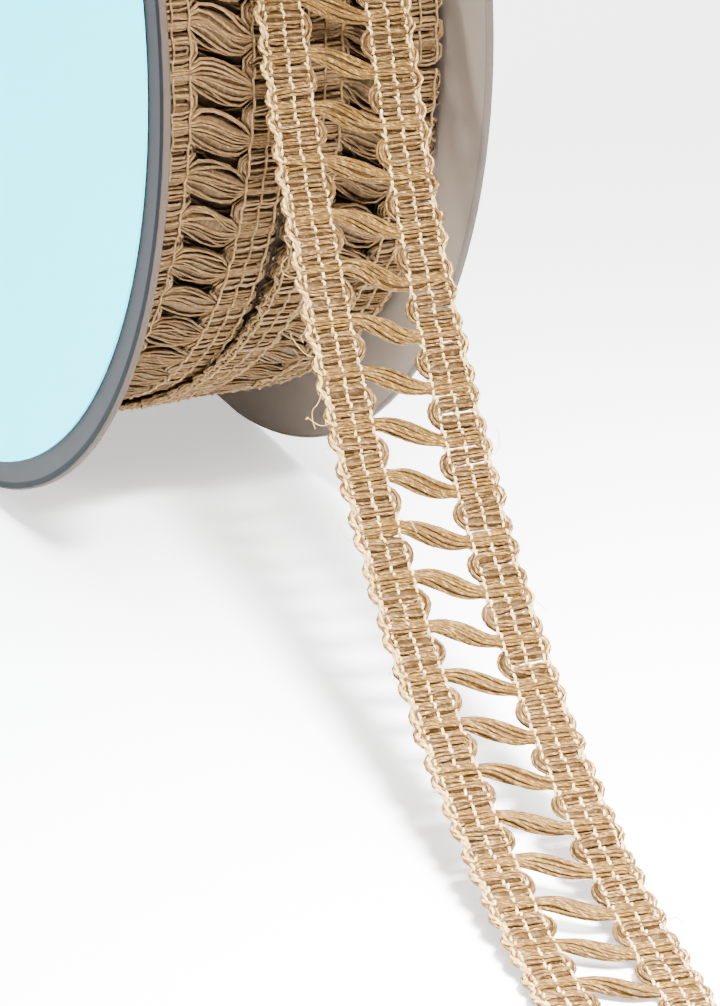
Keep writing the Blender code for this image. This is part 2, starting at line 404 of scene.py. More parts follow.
def bundle(course, path, half, high, turns, build):
    """One weft bundle: its strands, set round an oval section, and the core that fills it.

    path is in metres along and across the braid; half and high are the oval's two radii
    along it, and turns, one row for each strand, the strands' places round the oval.
    """
    ahead = np.gradient(path, axis=0)
    ahead /= np.linalg.norm(ahead, axis=1, keepdims=True)
    off = np.stack([-ahead[:, 1], ahead[:, 0]], axis=-1)

    def place(angle, scale):
        flat = path + off * (scale * half * np.cos(angle))[..., None]
        return course.at(flat[..., 0] / PITCH, flat[..., 1] / WIDTH, scale * high * np.sin(angle))

    strands = place(turns + build["crowd"] * np.sin(2 * turns), 1.0)
    sides = build["core_sides"]
    round_it = np.arange(sides) * 2 * np.pi / sides + CORE_TURN
    core = place(-round_it[:, None] + np.zeros((1, len(path))), build["core"])
    return strands, core.transpose(1, 0, 2)[None]


def strand_turns(count, full, points, rng, loose):
    """Strands spread round the whole oval, or over its outward side where the rest is hidden."""
    if full:
        start = np.arange(count) * 2 * np.pi / count + rng.uniform(0, 2 * np.pi)
    else:
        start = np.linspace(-PAST_MIDDLE, np.pi + PAST_MIDDLE, count)
    start = start + rng.normal(0, SPREAD_UNEVEN / count, count)
    t = np.linspace(0, 1, points)
    wander = rng.normal(0, loose, (count, 1)) * np.sin(
        np.pi * t * rng.uniform(*WANDER_WAVES, (count, 1))
        + rng.uniform(*WANDER_STARTS, (count, 1))
    )
    return start[:, None] + wander


# How the bars differ: in thickness, bow, sag and where they are fullest, then in twist; the
# straight share of a bar's climb; and half a bar's height at its ends.
BARS_DIFFER = (0.12, 0.014, 0.016, 0.12)
TWISTS_DIFFER = 0.4
STRAIGHT_SHARE = 0.35
BAR_HIGH = 0.00060


def add_bars(yarns, course, bars, build, rng):
    """The bars, each run on through a row of both rails to their outer warps."""
    v_rail = np.linspace(-RAIL_REACH, -WARPS[0], build["rail_points"])
    v_bar = np.linspace(-WARPS[0], WARPS[0], build["bar_points"] + 2)[1:-1]
    v = np.concatenate([v_rail, v_bar, -v_rail[::-1]])
    t = np.clip((v + WARPS[0]) / (2 * WARPS[0]), 0, 1)
    inside = (t > 0) & (t < 1)
    leaf = np.sin(np.pi * t)
    ease = t * t * (3 - 2 * t)
    climb = SLANT * (STRAIGHT_SHARE * t + (1 - STRAIGHT_SHARE) * ease)
    for bar in bars:
        fat, bow, sag, late = (rng.normal(0, spread) for spread in BARS_DIFFER)
        skewed = np.sin(np.pi * np.clip(t + late * t * (1 - t), 0, 1))
        s = bar + climb - (build["bow"] + bow) * np.sin(2 * np.pi * t) + sag * leaf
        path = np.stack([s * PITCH, v * WIDTH], axis=-1)
        half = np.where(
            inside,
            build["bar_end"] + build["bar_half"] * (1 + fat) * skewed ** build["bar_shape"],
            barrel_swell(v, build["row_rest"], build["row_full"]),
        )
        high = np.where(inside, BAR_HIGH + build["bar_high"] * leaf, barrel_swell(v, *ROW_HIGH))
        turns = strand_turns(build["bar_strands"], build["full"], len(v), rng, build["stray"])
        twist = build["twist"] * (1 + rng.normal(0, TWISTS_DIFFER)) * ease
        strands, core = bundle(course, path, half, high, turns + twist, build)
        yarns.add(strands, build["radius"], build["up"], build["sides"])
        # Its core is marked for the painted shade of a bundle's inside.
        yarns.add_rings(core, SHADED_CORE_MARK)


# One pitch of a rail's weft: out of the bar's row, round the outer edge, in along the next
# row, round the inner edge, out again, and round the outer edge to the next bar's row.
WEFT_TURNS = (
    # along (pitches), across (widths)
    (0.070, 0.425),
    (0.090, 0.450),
    (0.145, 0.466),
    (0.215, 0.470),
    (0.285, 0.463),
    (0.330, 0.446),
    (0.340, 0.388),
    (0.340, 0.330),
    (0.340, 0.272),
    (0.350, 0.222),
    (0.385, 0.206),
    (0.440, 0.196),
    (0.510, 0.192),
    (0.580, 0.197),
    (0.630, 0.206),
    (0.666, 0.222),
    (0.675, 0.272),
    (0.675, 0.330),
    (0.675, 0.388),
    (0.683, 0.446),
    (0.725, 0.460),
    (0.790, 0.466),
    (0.855, 0.462),
    (0.905, 0.448),
    (0.930, 0.425),
)

# How far apart its points stand along the rows, beside 1 round the loops.
ROW_SPACING = 0.9


def weft_middle(points):
    """The middle of one pitch of a rail's weft, in metres along and across the braid.

    Its points stand closer together round the loops than along the rows.
    """
    knots = np.array(WEFT_TURNS) * (PITCH, WIDTH)
    steps = np.linalg.norm(np.diff(knots, axis=0), axis=1)
    bend = np.abs(knots[1:, 1] + knots[:-1, 1]) / 2 / WIDTH
    steps *= np.where((bend > WARPS[2]) | (bend < WARPS[0]), 1.0, ROW_SPACING)
    length = np.concatenate([[0], np.cumsum(steps)])
    at = np.linspace(0, length[-1], points)
    return np.stack([np.interp(at, length, knots[:, i]) for i in (0, 1)], axis=-1)


# The rows' fullness at the card's side and the other, and how much they differ; the inner and
# the outer loops' reach and how much it differs (widths); how far a pitch's weft slips along
# (pitches); a loop's half height at the outer and more at the inner edge; how much wider the
# inner loops are; and how far the weft's strands wander.
ROWS_FULL = (1.03, 0.95)
ROWS_DIFFER = 0.09
LOOPS_REACH = (0.04, 0.02)
LOOPS_DIFFER = (0.006, 0.003)
WEFT_SLIPS = 0.011
LOOP_HIGH = (0.00058, 0.00022)
LOOP_SWELL = 0.00006
WEFT_STRAY = 0.34


def add_rails(yarns, course, side, bars, build, rng):
    """The weft of one rail between its bars, with its loops at both edges."""
    middle = weft_middle(build["weft_points"])
    v = middle[:, 1] / WIDTH
    loops = (v > WARPS[2]) | (v < WARPS[0])
    inner = np.clip((WARPS[0] - v) / LOOPS_REACH[0], 0, 1)
    outer = np.clip((v - WARPS[2]) / LOOPS_REACH[1], 0, 1)
    swell = barrel_swell(v, build["row_rest"], build["row_full"])
    high = np.where(loops, LOOP_HIGH[0] + LOOP_HIGH[1] * inner, barrel_swell(v, *ROW_HIGH))
    shift = 0.0 if side < 0 else SLANT
    for bar in bars:
        wide = (1 + rng.normal(0, ROWS_DIFFER)) * ROWS_FULL[side > 0]
        half = np.where(loops, build["row_rest"] + LOOP_SWELL * inner, swell * wide)
        push = rng.normal(0, LOOPS_DIFFER[0]) * inner + rng.normal(0, LOOPS_DIFFER[1]) * outer
        path = middle.copy()
        path[:, 0] += (bar + shift + rng.normal(0, WEFT_SLIPS)) * PITCH
        path[:, 1] = side * (path[:, 1] + push * WIDTH)
        turns = strand_turns(build["weft_strands"], build["full"], len(v), rng, WEFT_STRAY)
        strands, core = bundle(course, path, half, high, turns, build)
        yarns.add(strands, build["radius"], build["up"], build["sides"])
        # Its core is marked for the painted shade of a bundle's inside.
        yarns.add_rings(core if side < 0 else core[:, :, ::-1], SHADED_CORE_MARK)


# A warp thread: how far past a row's start it is highest (pitches), how sharply it dives, how
# it sways across (widths), how uneven it is across and in height, and how low and high it goes.
WARP_LATE = 0.065
WARP_SHARP = 0.6
WARP_SWAY = 0.0050
WARP_UNEVEN = (0.0011, 0.00008)
WARP_LOW = 0.0006
WARP_RISE = 0.00172


def warp_lines(course, start, stop, steps, build, rng):
    """The warp threads: over each weft row's upper part, and down between two rows."""
    lines = []
    s = np.arange(start, stop, 1 / ROWS / steps)
    for side in (-1, 1):
        shift = 0.0 if side < 0 else SLANT
        wave = np.cos(2 * np.pi * ROWS * (s - shift + WARP_LATE))
        over = 1 - build["warp_dive"] * (1 - np.clip(wave, 0, 1) ** WARP_SHARP)
        rise = WARP_RISE * over - WARP_LOW
        even = WARP_SWAY * np.sin(np.pi * ROWS * (s - shift))
        for place in WARPS:
            sway = even + rng.normal(0, WARP_UNEVEN[0], len(s))
            lift = rng.normal(0, WARP_UNEVEN[1], len(s))
            lines.append(course.at(s, side * (place + sway), rise + lift))
            if build["full"]:
                lines.append(course.at(s, side * (place - sway), -rise))
    return np.stack(lines)


# The thread along a rail's outer edge: its place and how far it wanders (widths), how far it
# is pushed out at each loop (where, how long, what share), its height and its twists a pitch.
EDGE_PLACE = 0.464
EDGE_WANDERS = 0.003
EDGE_PUSHED = 0.034
EDGE_BULGES = ((0.215, 0.12, 1.0), (0.79, 0.11, 0.8))
EDGE_LIES = 0.00040
EDGE_TWISTS = 3.0


def edge_lines(course, side, start, stop, steps, thick, rng):
    """The two plies of a thread laid along a rail's outer loops."""
    s = np.arange(start, stop, 1 / steps)
    knots = np.arange(start, stop + 1, 0.5)
    slow = np.interp(s, knots, rng.normal(0, EDGE_WANDERS, len(knots)))
    phase = (s - (0.0 if side < 0 else SLANT)) % 1.0
    bulges = [share * np.exp(-(((phase - at) / long) ** 2)) for at, long, share in EDGE_BULGES]
    v = EDGE_PLACE + EDGE_PUSHED * np.max(bulges, axis=0) + slow
    lines = []
    for ply in (0, math.pi):
        twist = 2 * np.pi * EDGE_TWISTS * s + ply
        out = side * (v + thick / WIDTH * np.cos(twist))
        lines.append(course.at(s, out, EDGE_LIES + thick * np.sin(twist)))
    return np.stack(lines)


# Fibres that stand off the loose end: the bar each starts at, its side (-1 the card's), the
# place across where it springs, how far it reaches, and how far along it drifts.
STRAYS = (
    # bar, side, springs, reach (widths), drift (pitches)
    (3.2, -1, 0.49, 0.05, 0.3),
    (4.1, -1, 0.49, 0.11, -0.3),
    (5.0, -1, 0.49, 0.08, 0.4),
    (5.6, -1, 0.49, 0.13, -0.5),
    (5.8, 1, 0.20, -0.07, 0.3),
    (6.3, -1, 0.49, 0.09, 0.6),
    (6.9, -1, 0.49, 0.14, -0.2),
    (7.2, -1, 0.49, 0.06, 0.3),
    (7.9, 1, 0.49, 0.05, -0.4),
    (8.3, -1, 0.49, 0.12, 0.5),
    (8.8, -1, 0.20, -0.06, 0.4),
    (9.2, -1, 0.49, 0.10, -0.4),
    (9.9, -1, 0.49, 0.07, 0.3),
    (10.7, 1, 0.49, 0.06, 0.4),
    (12.1, -1, 0.49, 0.06, -0.3),
    (13.4, -1, 0.20, -0.05, 0.3),
    (17.7, 1, 0.49, 0.05, 0.4),
)

# Such a fibre: its radius, its sides and the way they are turned, its points, its curl
# (pitches) and the waves of it, how far its arch goes, and its height where it springs and
# where it ends.
FIBRE_RADIUS = 0.00006
FIBRE_SIDES = 4
FIBRE_UP = (0.3, 0.2, 0.9)
FIBRE_POINTS = 13
FIBRE_CURL = 0.05
FIBRE_WAVES = (4, 9)
FIBRE_ARCH = (0.5, 0.95)
FIBRE_SPRINGS = 0.0006
FIBRE_ENDS = (-0.001, 0.003)


def stray_lines(course, rng):
    """Fine curled fibres that stand off the loose end."""
    lines = []
    t = np.linspace(0, 1, FIBRE_POINTS)
    for bar, side, springs, reach, drift in STRAYS:
        s = bar + drift * t + FIBRE_CURL * np.sin(t * rng.uniform(*FIBRE_WAVES))
        v = side * (springs + reach * np.sin(np.pi * t * rng.uniform(*FIBRE_ARCH)))
        h = FIBRE_SPRINGS + rng.uniform(*FIBRE_ENDS) * t
        lines.append(course.at(s, v, h))
    return np.stack(lines)


# The ground: where the rows of one pitch start and end, and its columns; the strips between
# rows that are open, and in which columns; and the strip inside each bar, half as wide as this
# (pitches), in so many steps.
ROW_EDGES = (0.0, 0.150, 0.205, 0.340, 0.478, 0.535, 0.675, 0.808, 0.852)
GROUND_COLUMNS = (0.212, 0.222, 0.321, 0.339, 0.438, 0.466)
OPEN_STRIPS = (1, 4, 7)
OPEN_COLUMNS = (1, 3)
BAR_STRIP = 0.05
BAR_STRIP_STEPS = 8


def ground_sheet(course, start, stop, look):
    """The thin woven ground inside the loose end's yarns, open between bars and at slits; it
    takes the roll's shaded yarn copy, painted shade between the strands.
    """
    verts, faces, flat = [], [], 0.0
    index = {}

    def vert(s, v):
        key = (round(s, 4), round(v, 4))
        if key not in index:
            index[key] = len(verts)
            verts.append(course.at(np.array([s]), np.array([v]), np.zeros(1))[0])
        return index[key]

    columns = GROUND_COLUMNS
    for side in (-1, 1):
        shift = 0.0 if side < 0 else SLANT
        for bar in range(int(start), int(stop) - (side > 0)):
            edges = [bar + shift + e for e in (*ROW_EDGES, 1.0)]
            for strip, (a, b) in enumerate(zip(edges, edges[1:])):
                for i, (p, q) in enumerate(zip(columns, columns[1:])):
                    if strip in OPEN_STRIPS and i in OPEN_COLUMNS:
                        continue
                    corners = ((a, p), (b, p), (b, q), (a, q))
                    faces.append([vert(x, side * y) for x, y in corners])
                    flat += (q - p) * WIDTH * (b - a) * PITCH
    steps = BAR_STRIP_STEPS
    wide = 2 * columns[0]
    for bar in range(int(start), int(stop) - 1):
        for i in range(steps):
            corners = []
            for step, off in ((i, -1), (i + 1, -1), (i + 1, 1), (i, 1)):
                t = step / steps
                s = bar + SLANT * t * t * (3 - 2 * t) + off * BAR_STRIP
                corners.append(vert(s, wide * (t - 0.5)))
            faces.append(corners)
            flat += wide / steps * WIDTH * 2 * BAR_STRIP * PITCH
    mesh = bpy.data.meshes.new("loose_ground")
    mesh.from_pydata([tuple(v) for v in verts], [], faces)
    mesh.materials.append(look)
    return placed("loose_ground", mesh), flat


def node(tree, kind, **inputs):
    """A new node with its inputs set by name."""
    made = tree.nodes.new(kind)
    for key, value in inputs.items():
        made.inputs[key.replace("_", " ")].default_value = value
    return made


def fresh(name):
    """A material with its Principled shader ready, returned with its tree and shader."""
    made = bpy.data.materials.new(name)
    made.use_nodes = True
    tree = made.node_tree
    return made, tree, tree.nodes["Principled BSDF"]


def mix(tree, factor, one, two):
    """A mix of two colours, each a tuple or a socket."""
    made = tree.nodes.new("ShaderNodeMix")
    made.data_type = "RGBA"
    tree.links.new(factor, made.inputs["Factor"])
    for value, socket in ((one, made.inputs["A"]), (two, made.inputs["B"])):
        if isinstance(value, tuple):
            socket.default_value = (*value, 1.0)
        else:
            tree.links.new(value, socket)
    return made.outputs["Result"]


def math_node(tree, kind, one, two=None):
    """A sum on one or two values, each a number or a socket."""
    made = tree.nodes.new("ShaderNodeMath")
    made.operation = kind
    for value, socket in ((one, made.inputs[0]), (two, made.inputs[1])):
        if value is None:
            continue
        if isinstance(value, (int, float)):
            socket.default_value = value
        else:
            tree.links.new(value, socket)
    return made.outputs[0]


# The yarns' looks: dark and light colours, a pale colour for painted highlights, then how fine
# the fibres are, how rough it is, its sheen, and how far a bundle's inside goes towards a share
# of its dark colour, as painted shade.
YARNS = {
    "tan_yarn": (
        (0.031, 0.0135, 0.0032),
        (0.089, 0.0415, 0.0090),
        (0.39, 0.240, 0.076),
        (5.0, 0.42, 0.03, 0.82),
    ),
    "rail_yarn": (
        (0.033, 0.0145, 0.0042),
        (0.093, 0.0440, 0.0122),
        (0.44, 0.285, 0.118),
        (5.0, 0.42, 0.03, 0.82),
    ),
    # A second copy of the braid's yarn, coloured apart for the roll, which lies in shade: a
    # shaded copy with duller highlights.
    "shaded_roll_yarn": (
        (0.050, 0.027, 0.012),
        (0.145, 0.082, 0.034),
        (0.28, 0.180, 0.088),
        (5.0, 0.6, 0.03, 0.6),
    ),
    # The cream thread again, coloured darker for the roll: painted shade.
    "shaded_roll_thread": (
        (0.075, 0.042, 0.017),
        (0.21, 0.125, 0.052),
        (0.38, 0.26, 0.12),
        (4.0, 0.6, 0.03, 0.82),
    ),
    # The turns under the outer ones, coloured dark as painted shade between the bars.
    "shaded_under_yarn": (
        (0.014, 0.007, 0.003),
        (0.045, 0.023, 0.008),
        (0.10, 0.058, 0.022),
        (5.0, 0.7, 0.0, 0.82),
    ),
    "cream_thread": (
        (0.27, 0.160, 0.052),
        (0.62, 0.44, 0.19),
        (0.96, 0.80, 0.48),
        (3.0, 0.45, 0.05, 0.82),
    ),
    "edge_thread": (
        (0.17, 0.086, 0.020),
        (0.52, 0.33, 0.105),
        (1.00, 0.80, 0.42),
        (4.0, 0.40, 0.05, 0.82),
    ),
}
# The painted shade inside a bundle goes towards this share of its dark colour.
CORE_SHADE_SHARE = 0.5

# What all yarns share: the fibres' turns round it and their grain (a metre), the size of its
# blotches and their share in its colour, which streaks get a painted highlight in the pale
# colour, and its gloss and sheen.
FIBRE_TURNS = 190.0
FIBRE_GRAIN = 700.0
BLOTCHES = 210.0
BLOTCH_SHARE = 0.55
PAINTED_GLINT = (0.50, 0.76)
GLOSS = 0.15
GLOSS_TINT = (1.0, 0.74, 0.42, 1.0)
SHEEN_TINT = (1.0, 0.78, 0.50, 1.0)
SHEEN_ROUGH = 0.4


def yarn_material(name):
    """Soft spun yarn: fine fibres along it, strand to strand differences, painted highlights."""
    dark, light, pale, (fibres, rough, sheen, core_shade) = YARNS[name]
    made, tree, shader = fresh(name)
    links = tree.links
    uv = tree.nodes.new("ShaderNodeUVMap")
    uv.uv_map = "yarn"
    split = tree.nodes.new("ShaderNodeSeparateXYZ")
    links.new(uv.outputs["UV"], split.inputs[0])
    strand = math_node(tree, "FLOOR", split.outputs[1])
    chance = tree.nodes.new("ShaderNodeTexWhiteNoise")
    chance.noise_dimensions = "1D"
    links.new(strand, chance.inputs["W"])
    slant = math_node(
        tree, "ADD", split.outputs[1], math_node(tree, "MULTIPLY", split.outputs[0], FIBRE_TURNS)
    )
    join = tree.nodes.new("ShaderNodeCombineXYZ")
    links.new(math_node(tree, "MULTIPLY", split.outputs[0], FIBRE_GRAIN), join.inputs[0])
    links.new(math_node(tree, "MULTIPLY", slant, fibres), join.inputs[1])
    streak = node(tree, "ShaderNodeTexNoise", Scale=1.0, Detail=3.0, Roughness=0.65)
    links.new(join.outputs[0], streak.inputs["Vector"])
    place = tree.nodes.new("ShaderNodeTexCoord")
    patches = node(tree, "ShaderNodeTexNoise", Scale=BLOTCHES, Detail=4.0, Roughness=0.6)
    links.new(place.outputs["Object"], patches.inputs["Vector"])
    blend = math_node(
        tree,
        "ADD",
        math_node(tree, "MULTIPLY", patches.outputs["Fac"], BLOTCH_SHARE),
        math_node(tree, "MULTIPLY", chance.outputs["Value"], 1 - BLOTCH_SHARE),
    )
    base = mix(tree, blend, dark, light)
    # Painted highlights: the brightest streaks turn to the pale colour.
    glint = tree.nodes.new("ShaderNodeMapRange")
    glint.inputs["From Min"].default_value, glint.inputs["From Max"].default_value = PAINTED_GLINT
    links.new(streak.outputs["Fac"], glint.inputs["Value"])
    colour = mix(tree, glint.outputs["Result"], base, pale)
    # A bundle's inside is painted in shade, towards part of its dark colour.
    shade = tuple(CORE_SHADE_SHARE * c for c in dark)
    inside = math_node(tree, "GREATER_THAN", split.outputs[0], SHADED_CORE_MARK / 2)
    inside = math_node(tree, "MULTIPLY", inside, core_shade)
    links.new(mix(tree, inside, colour, shade), shader.inputs["Base Color"])
    bump = node(tree, "ShaderNodeBump", Strength=0.5, Distance=0.00010)
    links.new(streak.outputs["Fac"], bump.inputs["Height"])
    links.new(bump.outputs["Normal"], shader.inputs["Normal"])
    shader.inputs["Roughness"].default_value = rough
    shader.inputs["Specular IOR Level"].default_value = GLOSS
    shader.inputs["Specular Tint"].default_value = GLOSS_TINT
    shader.inputs["Sheen Weight"].default_value = sheen
    shader.inputs["Sheen Roughness"].default_value = SHEEN_ROUGH
    shader.inputs["Sheen Tint"].default_value = SHEEN_TINT
    return made


# The turns under the outer ones: their grain along the axis and round it, and its colours, dark
# as painted shade.
UNDER_GRAIN = (60.0, 1400.0, 1400.0)
UNDER_SHADE_COLOURS = ((0.012, 0.006, 0.003), (0.075, 0.040, 0.018))
UNDER_ROUGH = 0.9


def core_material():
    """The turns under the outer ones, coloured dark as painted shade between the bars."""
    made, tree, shader = fresh("shaded_under_turns")
    place = tree.nodes.new("ShaderNodeTexCoord")
    stretch = tree.nodes.new("ShaderNodeMapping")
    stretch.inputs["Scale"].default_value = UNDER_GRAIN
    tree.links.new(place.outputs["Object"], stretch.inputs["Vector"])
    grain = node(tree, "ShaderNodeTexNoise", Scale=1.0, Detail=3.0)
    tree.links.new(stretch.outputs["Vector"], grain.inputs["Vector"])
    colour = mix(tree, grain.outputs["Fac"], *UNDER_SHADE_COLOURS)
    tree.links.new(colour, shader.inputs["Base Color"])
    bump = node(tree, "ShaderNodeBump", Strength=0.8, Distance=0.0004)
    tree.links.new(grain.outputs["Fac"], bump.inputs["Height"])
    tree.links.new(bump.outputs["Normal"], shader.inputs["Normal"])
    shader.inputs["Roughness"].default_value = UNDER_ROUGH
    return made


# The boards' looks: the two colours of their mottling, how rough they are, and its scale.
BOARDS = {
    "grey_board": ((0.0225, 0.0205, 0.0225), (0.0285, 0.026, 0.0285), 0.5, 40.0),
    "taupe_board": ((0.108, 0.085, 0.066), (0.135, 0.108, 0.085), 0.45, 30.0),
    "cyan_card": ((0.000, 0.70, 0.95), (0.000, 0.93, 1.00), 0.6, 7.0),
}

# The near flange's side towards the roll, painted lighter than its outer face, which is kept dark
# against the card spot's strong light; and bands round the axis at the flanges' edges.
INNER_SIDE_LIGHTER = (0.080, 0.075, 0.078)
NEAR_SHADOW_AND_EDGE_RINGS = (
    # from, to, softness, colour
    # A thin near-black band at the rim: a painted shadow line between the face and the rim.
    (0.0999, 0.1012, 0.00012, (0.0015, 0.0015, 0.003)),
    (0.1012, 0.2000, 0.00010, (0.045, 0.034, 0.027)),
)
FAR_RINGS = ((0.1009, 0.2000, 0.00010, (0.055, 0.045, 0.038)),)

# What all boards share: their tooth, how their roughness varies, and their gloss.
BOARD_TOOTH = 3000.0
BOARD_ROUGH = (-0.06, 0.08)
BOARD_GLOSS = 0.04


def board_material(name):
    """Coated board: faint mottling and a fine tooth."""
    one, two, rough, scale = BOARDS[name]
    made, tree, shader = fresh(name)
    place = tree.nodes.new("ShaderNodeTexCoord")
    clouds = node(tree, "ShaderNodeTexNoise", Scale=scale, Detail=5.0)
    tree.links.new(place.outputs["Object"], clouds.inputs["Vector"])
    tooth = node(tree, "ShaderNodeTexNoise", Scale=BOARD_TOOTH, Detail=2.0)
    tree.links.new(place.outputs["Object"], tooth.inputs["Vector"])
    tree.links.new(mix(tree, clouds.outputs["Fac"], one, two), shader.inputs["Base Color"])
    spread = tree.nodes.new("ShaderNodeMapRange")
    spread.inputs["To Min"].default_value = rough + BOARD_ROUGH[0]
    spread.inputs["To Max"].default_value = rough + BOARD_ROUGH[1]
    tree.links.new(clouds.outputs["Fac"], spread.inputs["Value"])
    tree.links.new(spread.outputs["Result"], shader.inputs["Roughness"])
    shader.inputs["Specular IOR Level"].default_value = BOARD_GLOSS
    bump = node(tree, "ShaderNodeBump", Strength=0.12, Distance=0.00005)
    tree.links.new(tooth.outputs["Fac"], bump.inputs["Height"])
    tree.links.new(bump.outputs["Normal"], shader.inputs["Normal"])
    return made


def ring_lines(look, piece, rings):
    """Paints bands round the reel's axis over a board's colour: (from, to, softness, colour)."""
    tree = look.node_tree
    colour = tree.nodes["Principled BSDF"].inputs["Base Color"]
    axis = ORIGIN + np.array((0.0, 0.0, AXIS_HEIGHT))
    local = piece.matrix_world.inverted() @ Vector(axis)
    place = tree.nodes.new("ShaderNodeTexCoord")
    away = tree.nodes.new("ShaderNodeVectorMath")
    away.operation = "SUBTRACT"
    tree.links.new(place.outputs["Object"], away.inputs[0])
    away.inputs[1].default_value = local
    level = tree.nodes.new("ShaderNodeVectorMath")
    level.operation = "MULTIPLY"
    tree.links.new(away.outputs["Vector"], level.inputs[0])
    level.inputs[1].default_value = (0.0, 1.0, 1.0)
    reach = tree.nodes.new("ShaderNodeVectorMath")
    reach.operation = "LENGTH"
    tree.links.new(level.outputs["Vector"], reach.inputs[0])
    for start, stop, soft, paint in rings:
        sides = []
        for edge, way in ((start, (0.0, 1.0)), (stop, (1.0, 0.0))):
            step = tree.nodes.new("ShaderNodeMapRange")
            step.inputs["From Min"].default_value = edge - soft
            step.inputs["From Max"].default_value = edge + soft
            step.inputs["To Min"].default_value = way[0]
            step.inputs["To Max"].default_value = way[1]
            tree.links.new(reach.outputs["Value"], step.inputs["Value"])
            sides.append(step.outputs["Result"])
        band = math_node(tree, "MULTIPLY", *sides)
        tree.links.new(mix(tree, band, colour.links[0].from_socket, paint), colour)


def inner_side(look, beyond, paint):
    """Paints the side of a board that faces the roll, past a place along the reel's axis."""
    tree = look.node_tree
    colour = tree.nodes["Principled BSDF"].inputs["Base Color"]
    place = tree.nodes.new("ShaderNodeTexCoord")
    split = tree.nodes.new("ShaderNodeSeparateXYZ")
    tree.links.new(place.outputs["Object"], split.inputs[0])
    past = math_node(tree, "GREATER_THAN", split.outputs[0], beyond)
    tree.links.new(mix(tree, past, colour.links[0].from_socket, paint), colour)


def dress(name, look):
    """Gives a solid of the frame its material."""
    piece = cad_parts[name]
    piece.data.materials.clear()
    piece.data.materials.append(look)


# The ring of turns under the outermost: its ends along the axis, its bore, its steps round,
# and its depth below the roll's face at places across each column (widths).
CORE_ENDS = (0.0045, 0.0650)
CORE_BORE = 0.0330
CORE_STEPS = 220
CORE_DEPTHS = (
    (-0.49, 0.0042),
    (-0.44, 0.0026),
    (-0.25, 0.0026),
    (-0.20, 0.0052),
    (0.20, 0.0052),
    (0.25, 0.0026),
    (0.44, 0.0026),
    (0.49, 0.0042),
)


def roll_core(look):
    """The turns under the outermost: a ring, low under the gaps and higher under the rails."""
    profile = [(CORE_ENDS[0], CORE_BORE)]
    for middle in COLUMN_MIDDLES:
        for across, depth in CORE_DEPTHS:
            profile.append((middle + across * WIDTH, WOUND_RADIUS - depth))
    profile.append((CORE_ENDS[1], CORE_BORE))
    steps = CORE_STEPS
    verts = [
        tuple(on_roll(360.0 * k / steps, radius, along))
        for k in range(steps)
        for along, radius in profile
    ]
    wide = len(profile)
    faces = []
    for k in range(steps):
        n = (k + 1) % steps
        for i in range(wide):
            j = (i + 1) % wide
            faces.append((k * wide + i, k * wide + j, n * wide + j, n * wide + i))
    mesh = bpy.data.meshes.new("roll_core")
    mesh.from_pydata(verts, [], faces)
    mesh.materials.append(look)
    mesh.shade_smooth()
    return placed("roll_core", mesh)


# The floor: half its length, how far it lies under the reel, its colour, roughness and glow;
# and the light from all round.
FLOOR_REACH = 20.0
FLOOR_BELOW = 0.0002
FLOOR_COLOUR = (0.93, 0.93, 0.93, 1.0)
FLOOR_ROUGH = 0.9
FLOOR_GLOW = 0.8
SKY_LIGHT = 1.1
WHITE = (1.0, 1.0, 1.0, 1.0)

# Square soft lamps, all with one aim, and spots, each with its own.
SOFT_LAMPS = (
    # name, place, watts, size
    ("top", (0.05, -0.10, 1.5), 80.0, 0.8),
    ("key", (-0.8, -0.9, 1.1), 3.0, 0.6),
    ("fill", (0.9, -0.9, 0.7), 3.0, 1.0),
)
SOFT_AIM = (0.0, -0.02, 0.06)
SPOTS = (
    # name, place, aim, watts, cone (degrees)
    ("low_spot", (-0.15, -0.95, 1.2), (0.0, -0.31, 0.0), 3800.0, 20.0),
    ("card_spot", (-2.2, -0.45, 0.50), (-0.03, 0.04, 0.06), 560.0, 18.0),
)
SPOT_SIZE = 0.25


def stage():
    """A pale floor and soft studio light."""
    mesh = bpy.data.meshes.new("floor")
    corners = [(-1, -1), (1, -1), (1, 1), (-1, 1)]
    verts = [(x * FLOOR_REACH, y * FLOOR_REACH, 0) for x, y in corners]
    mesh.from_pydata(verts, [], [(0, 1, 2, 3)])
    floor = placed("floor", mesh)
    floor.location.z = -FLOOR_BELOW
    look, _, shader = fresh("pale_floor")
    shader.inputs["Base Color"].default_value = FLOOR_COLOUR
    shader.inputs["Roughness"].default_value = FLOOR_ROUGH
    shader.inputs["Emission Color"].default_value = WHITE
    shader.inputs["Emission Strength"].default_value = FLOOR_GLOW
    mesh.materials.append(look)
    world = bpy.data.worlds.new("studio")
    world.use_nodes = True
    sky = world.node_tree.nodes["Background"]
    sky.inputs["Color"].default_value = WHITE
    sky.inputs["Strength"].default_value = SKY_LIGHT
    bpy.context.scene.world = world
    for name, place, power, size in SOFT_LAMPS:
        data = bpy.data.lights.new(name, "AREA")
        data.size = size
        hang_lamp(data, power, place, SOFT_AIM)
    for name, place, aim, power, cone in SPOTS:
        data = bpy.data.lights.new(name, "SPOT")
        data.spot_size = math.radians(cone)
        data.spot_blend = 1.0
        data.shadow_soft_size = SPOT_SIZE
        hang_lamp(data, power, place, aim)


def hang_lamp(data, power, place, aim):
    """A lamp at a place, turned to its aim."""
    data.energy = power
    lamp = placed(data.name, data)
    lamp.location = place
    lamp.rotation_euler = (Vector(aim) - Vector(place)).to_track_quat("-Z", "Y").to_euler()


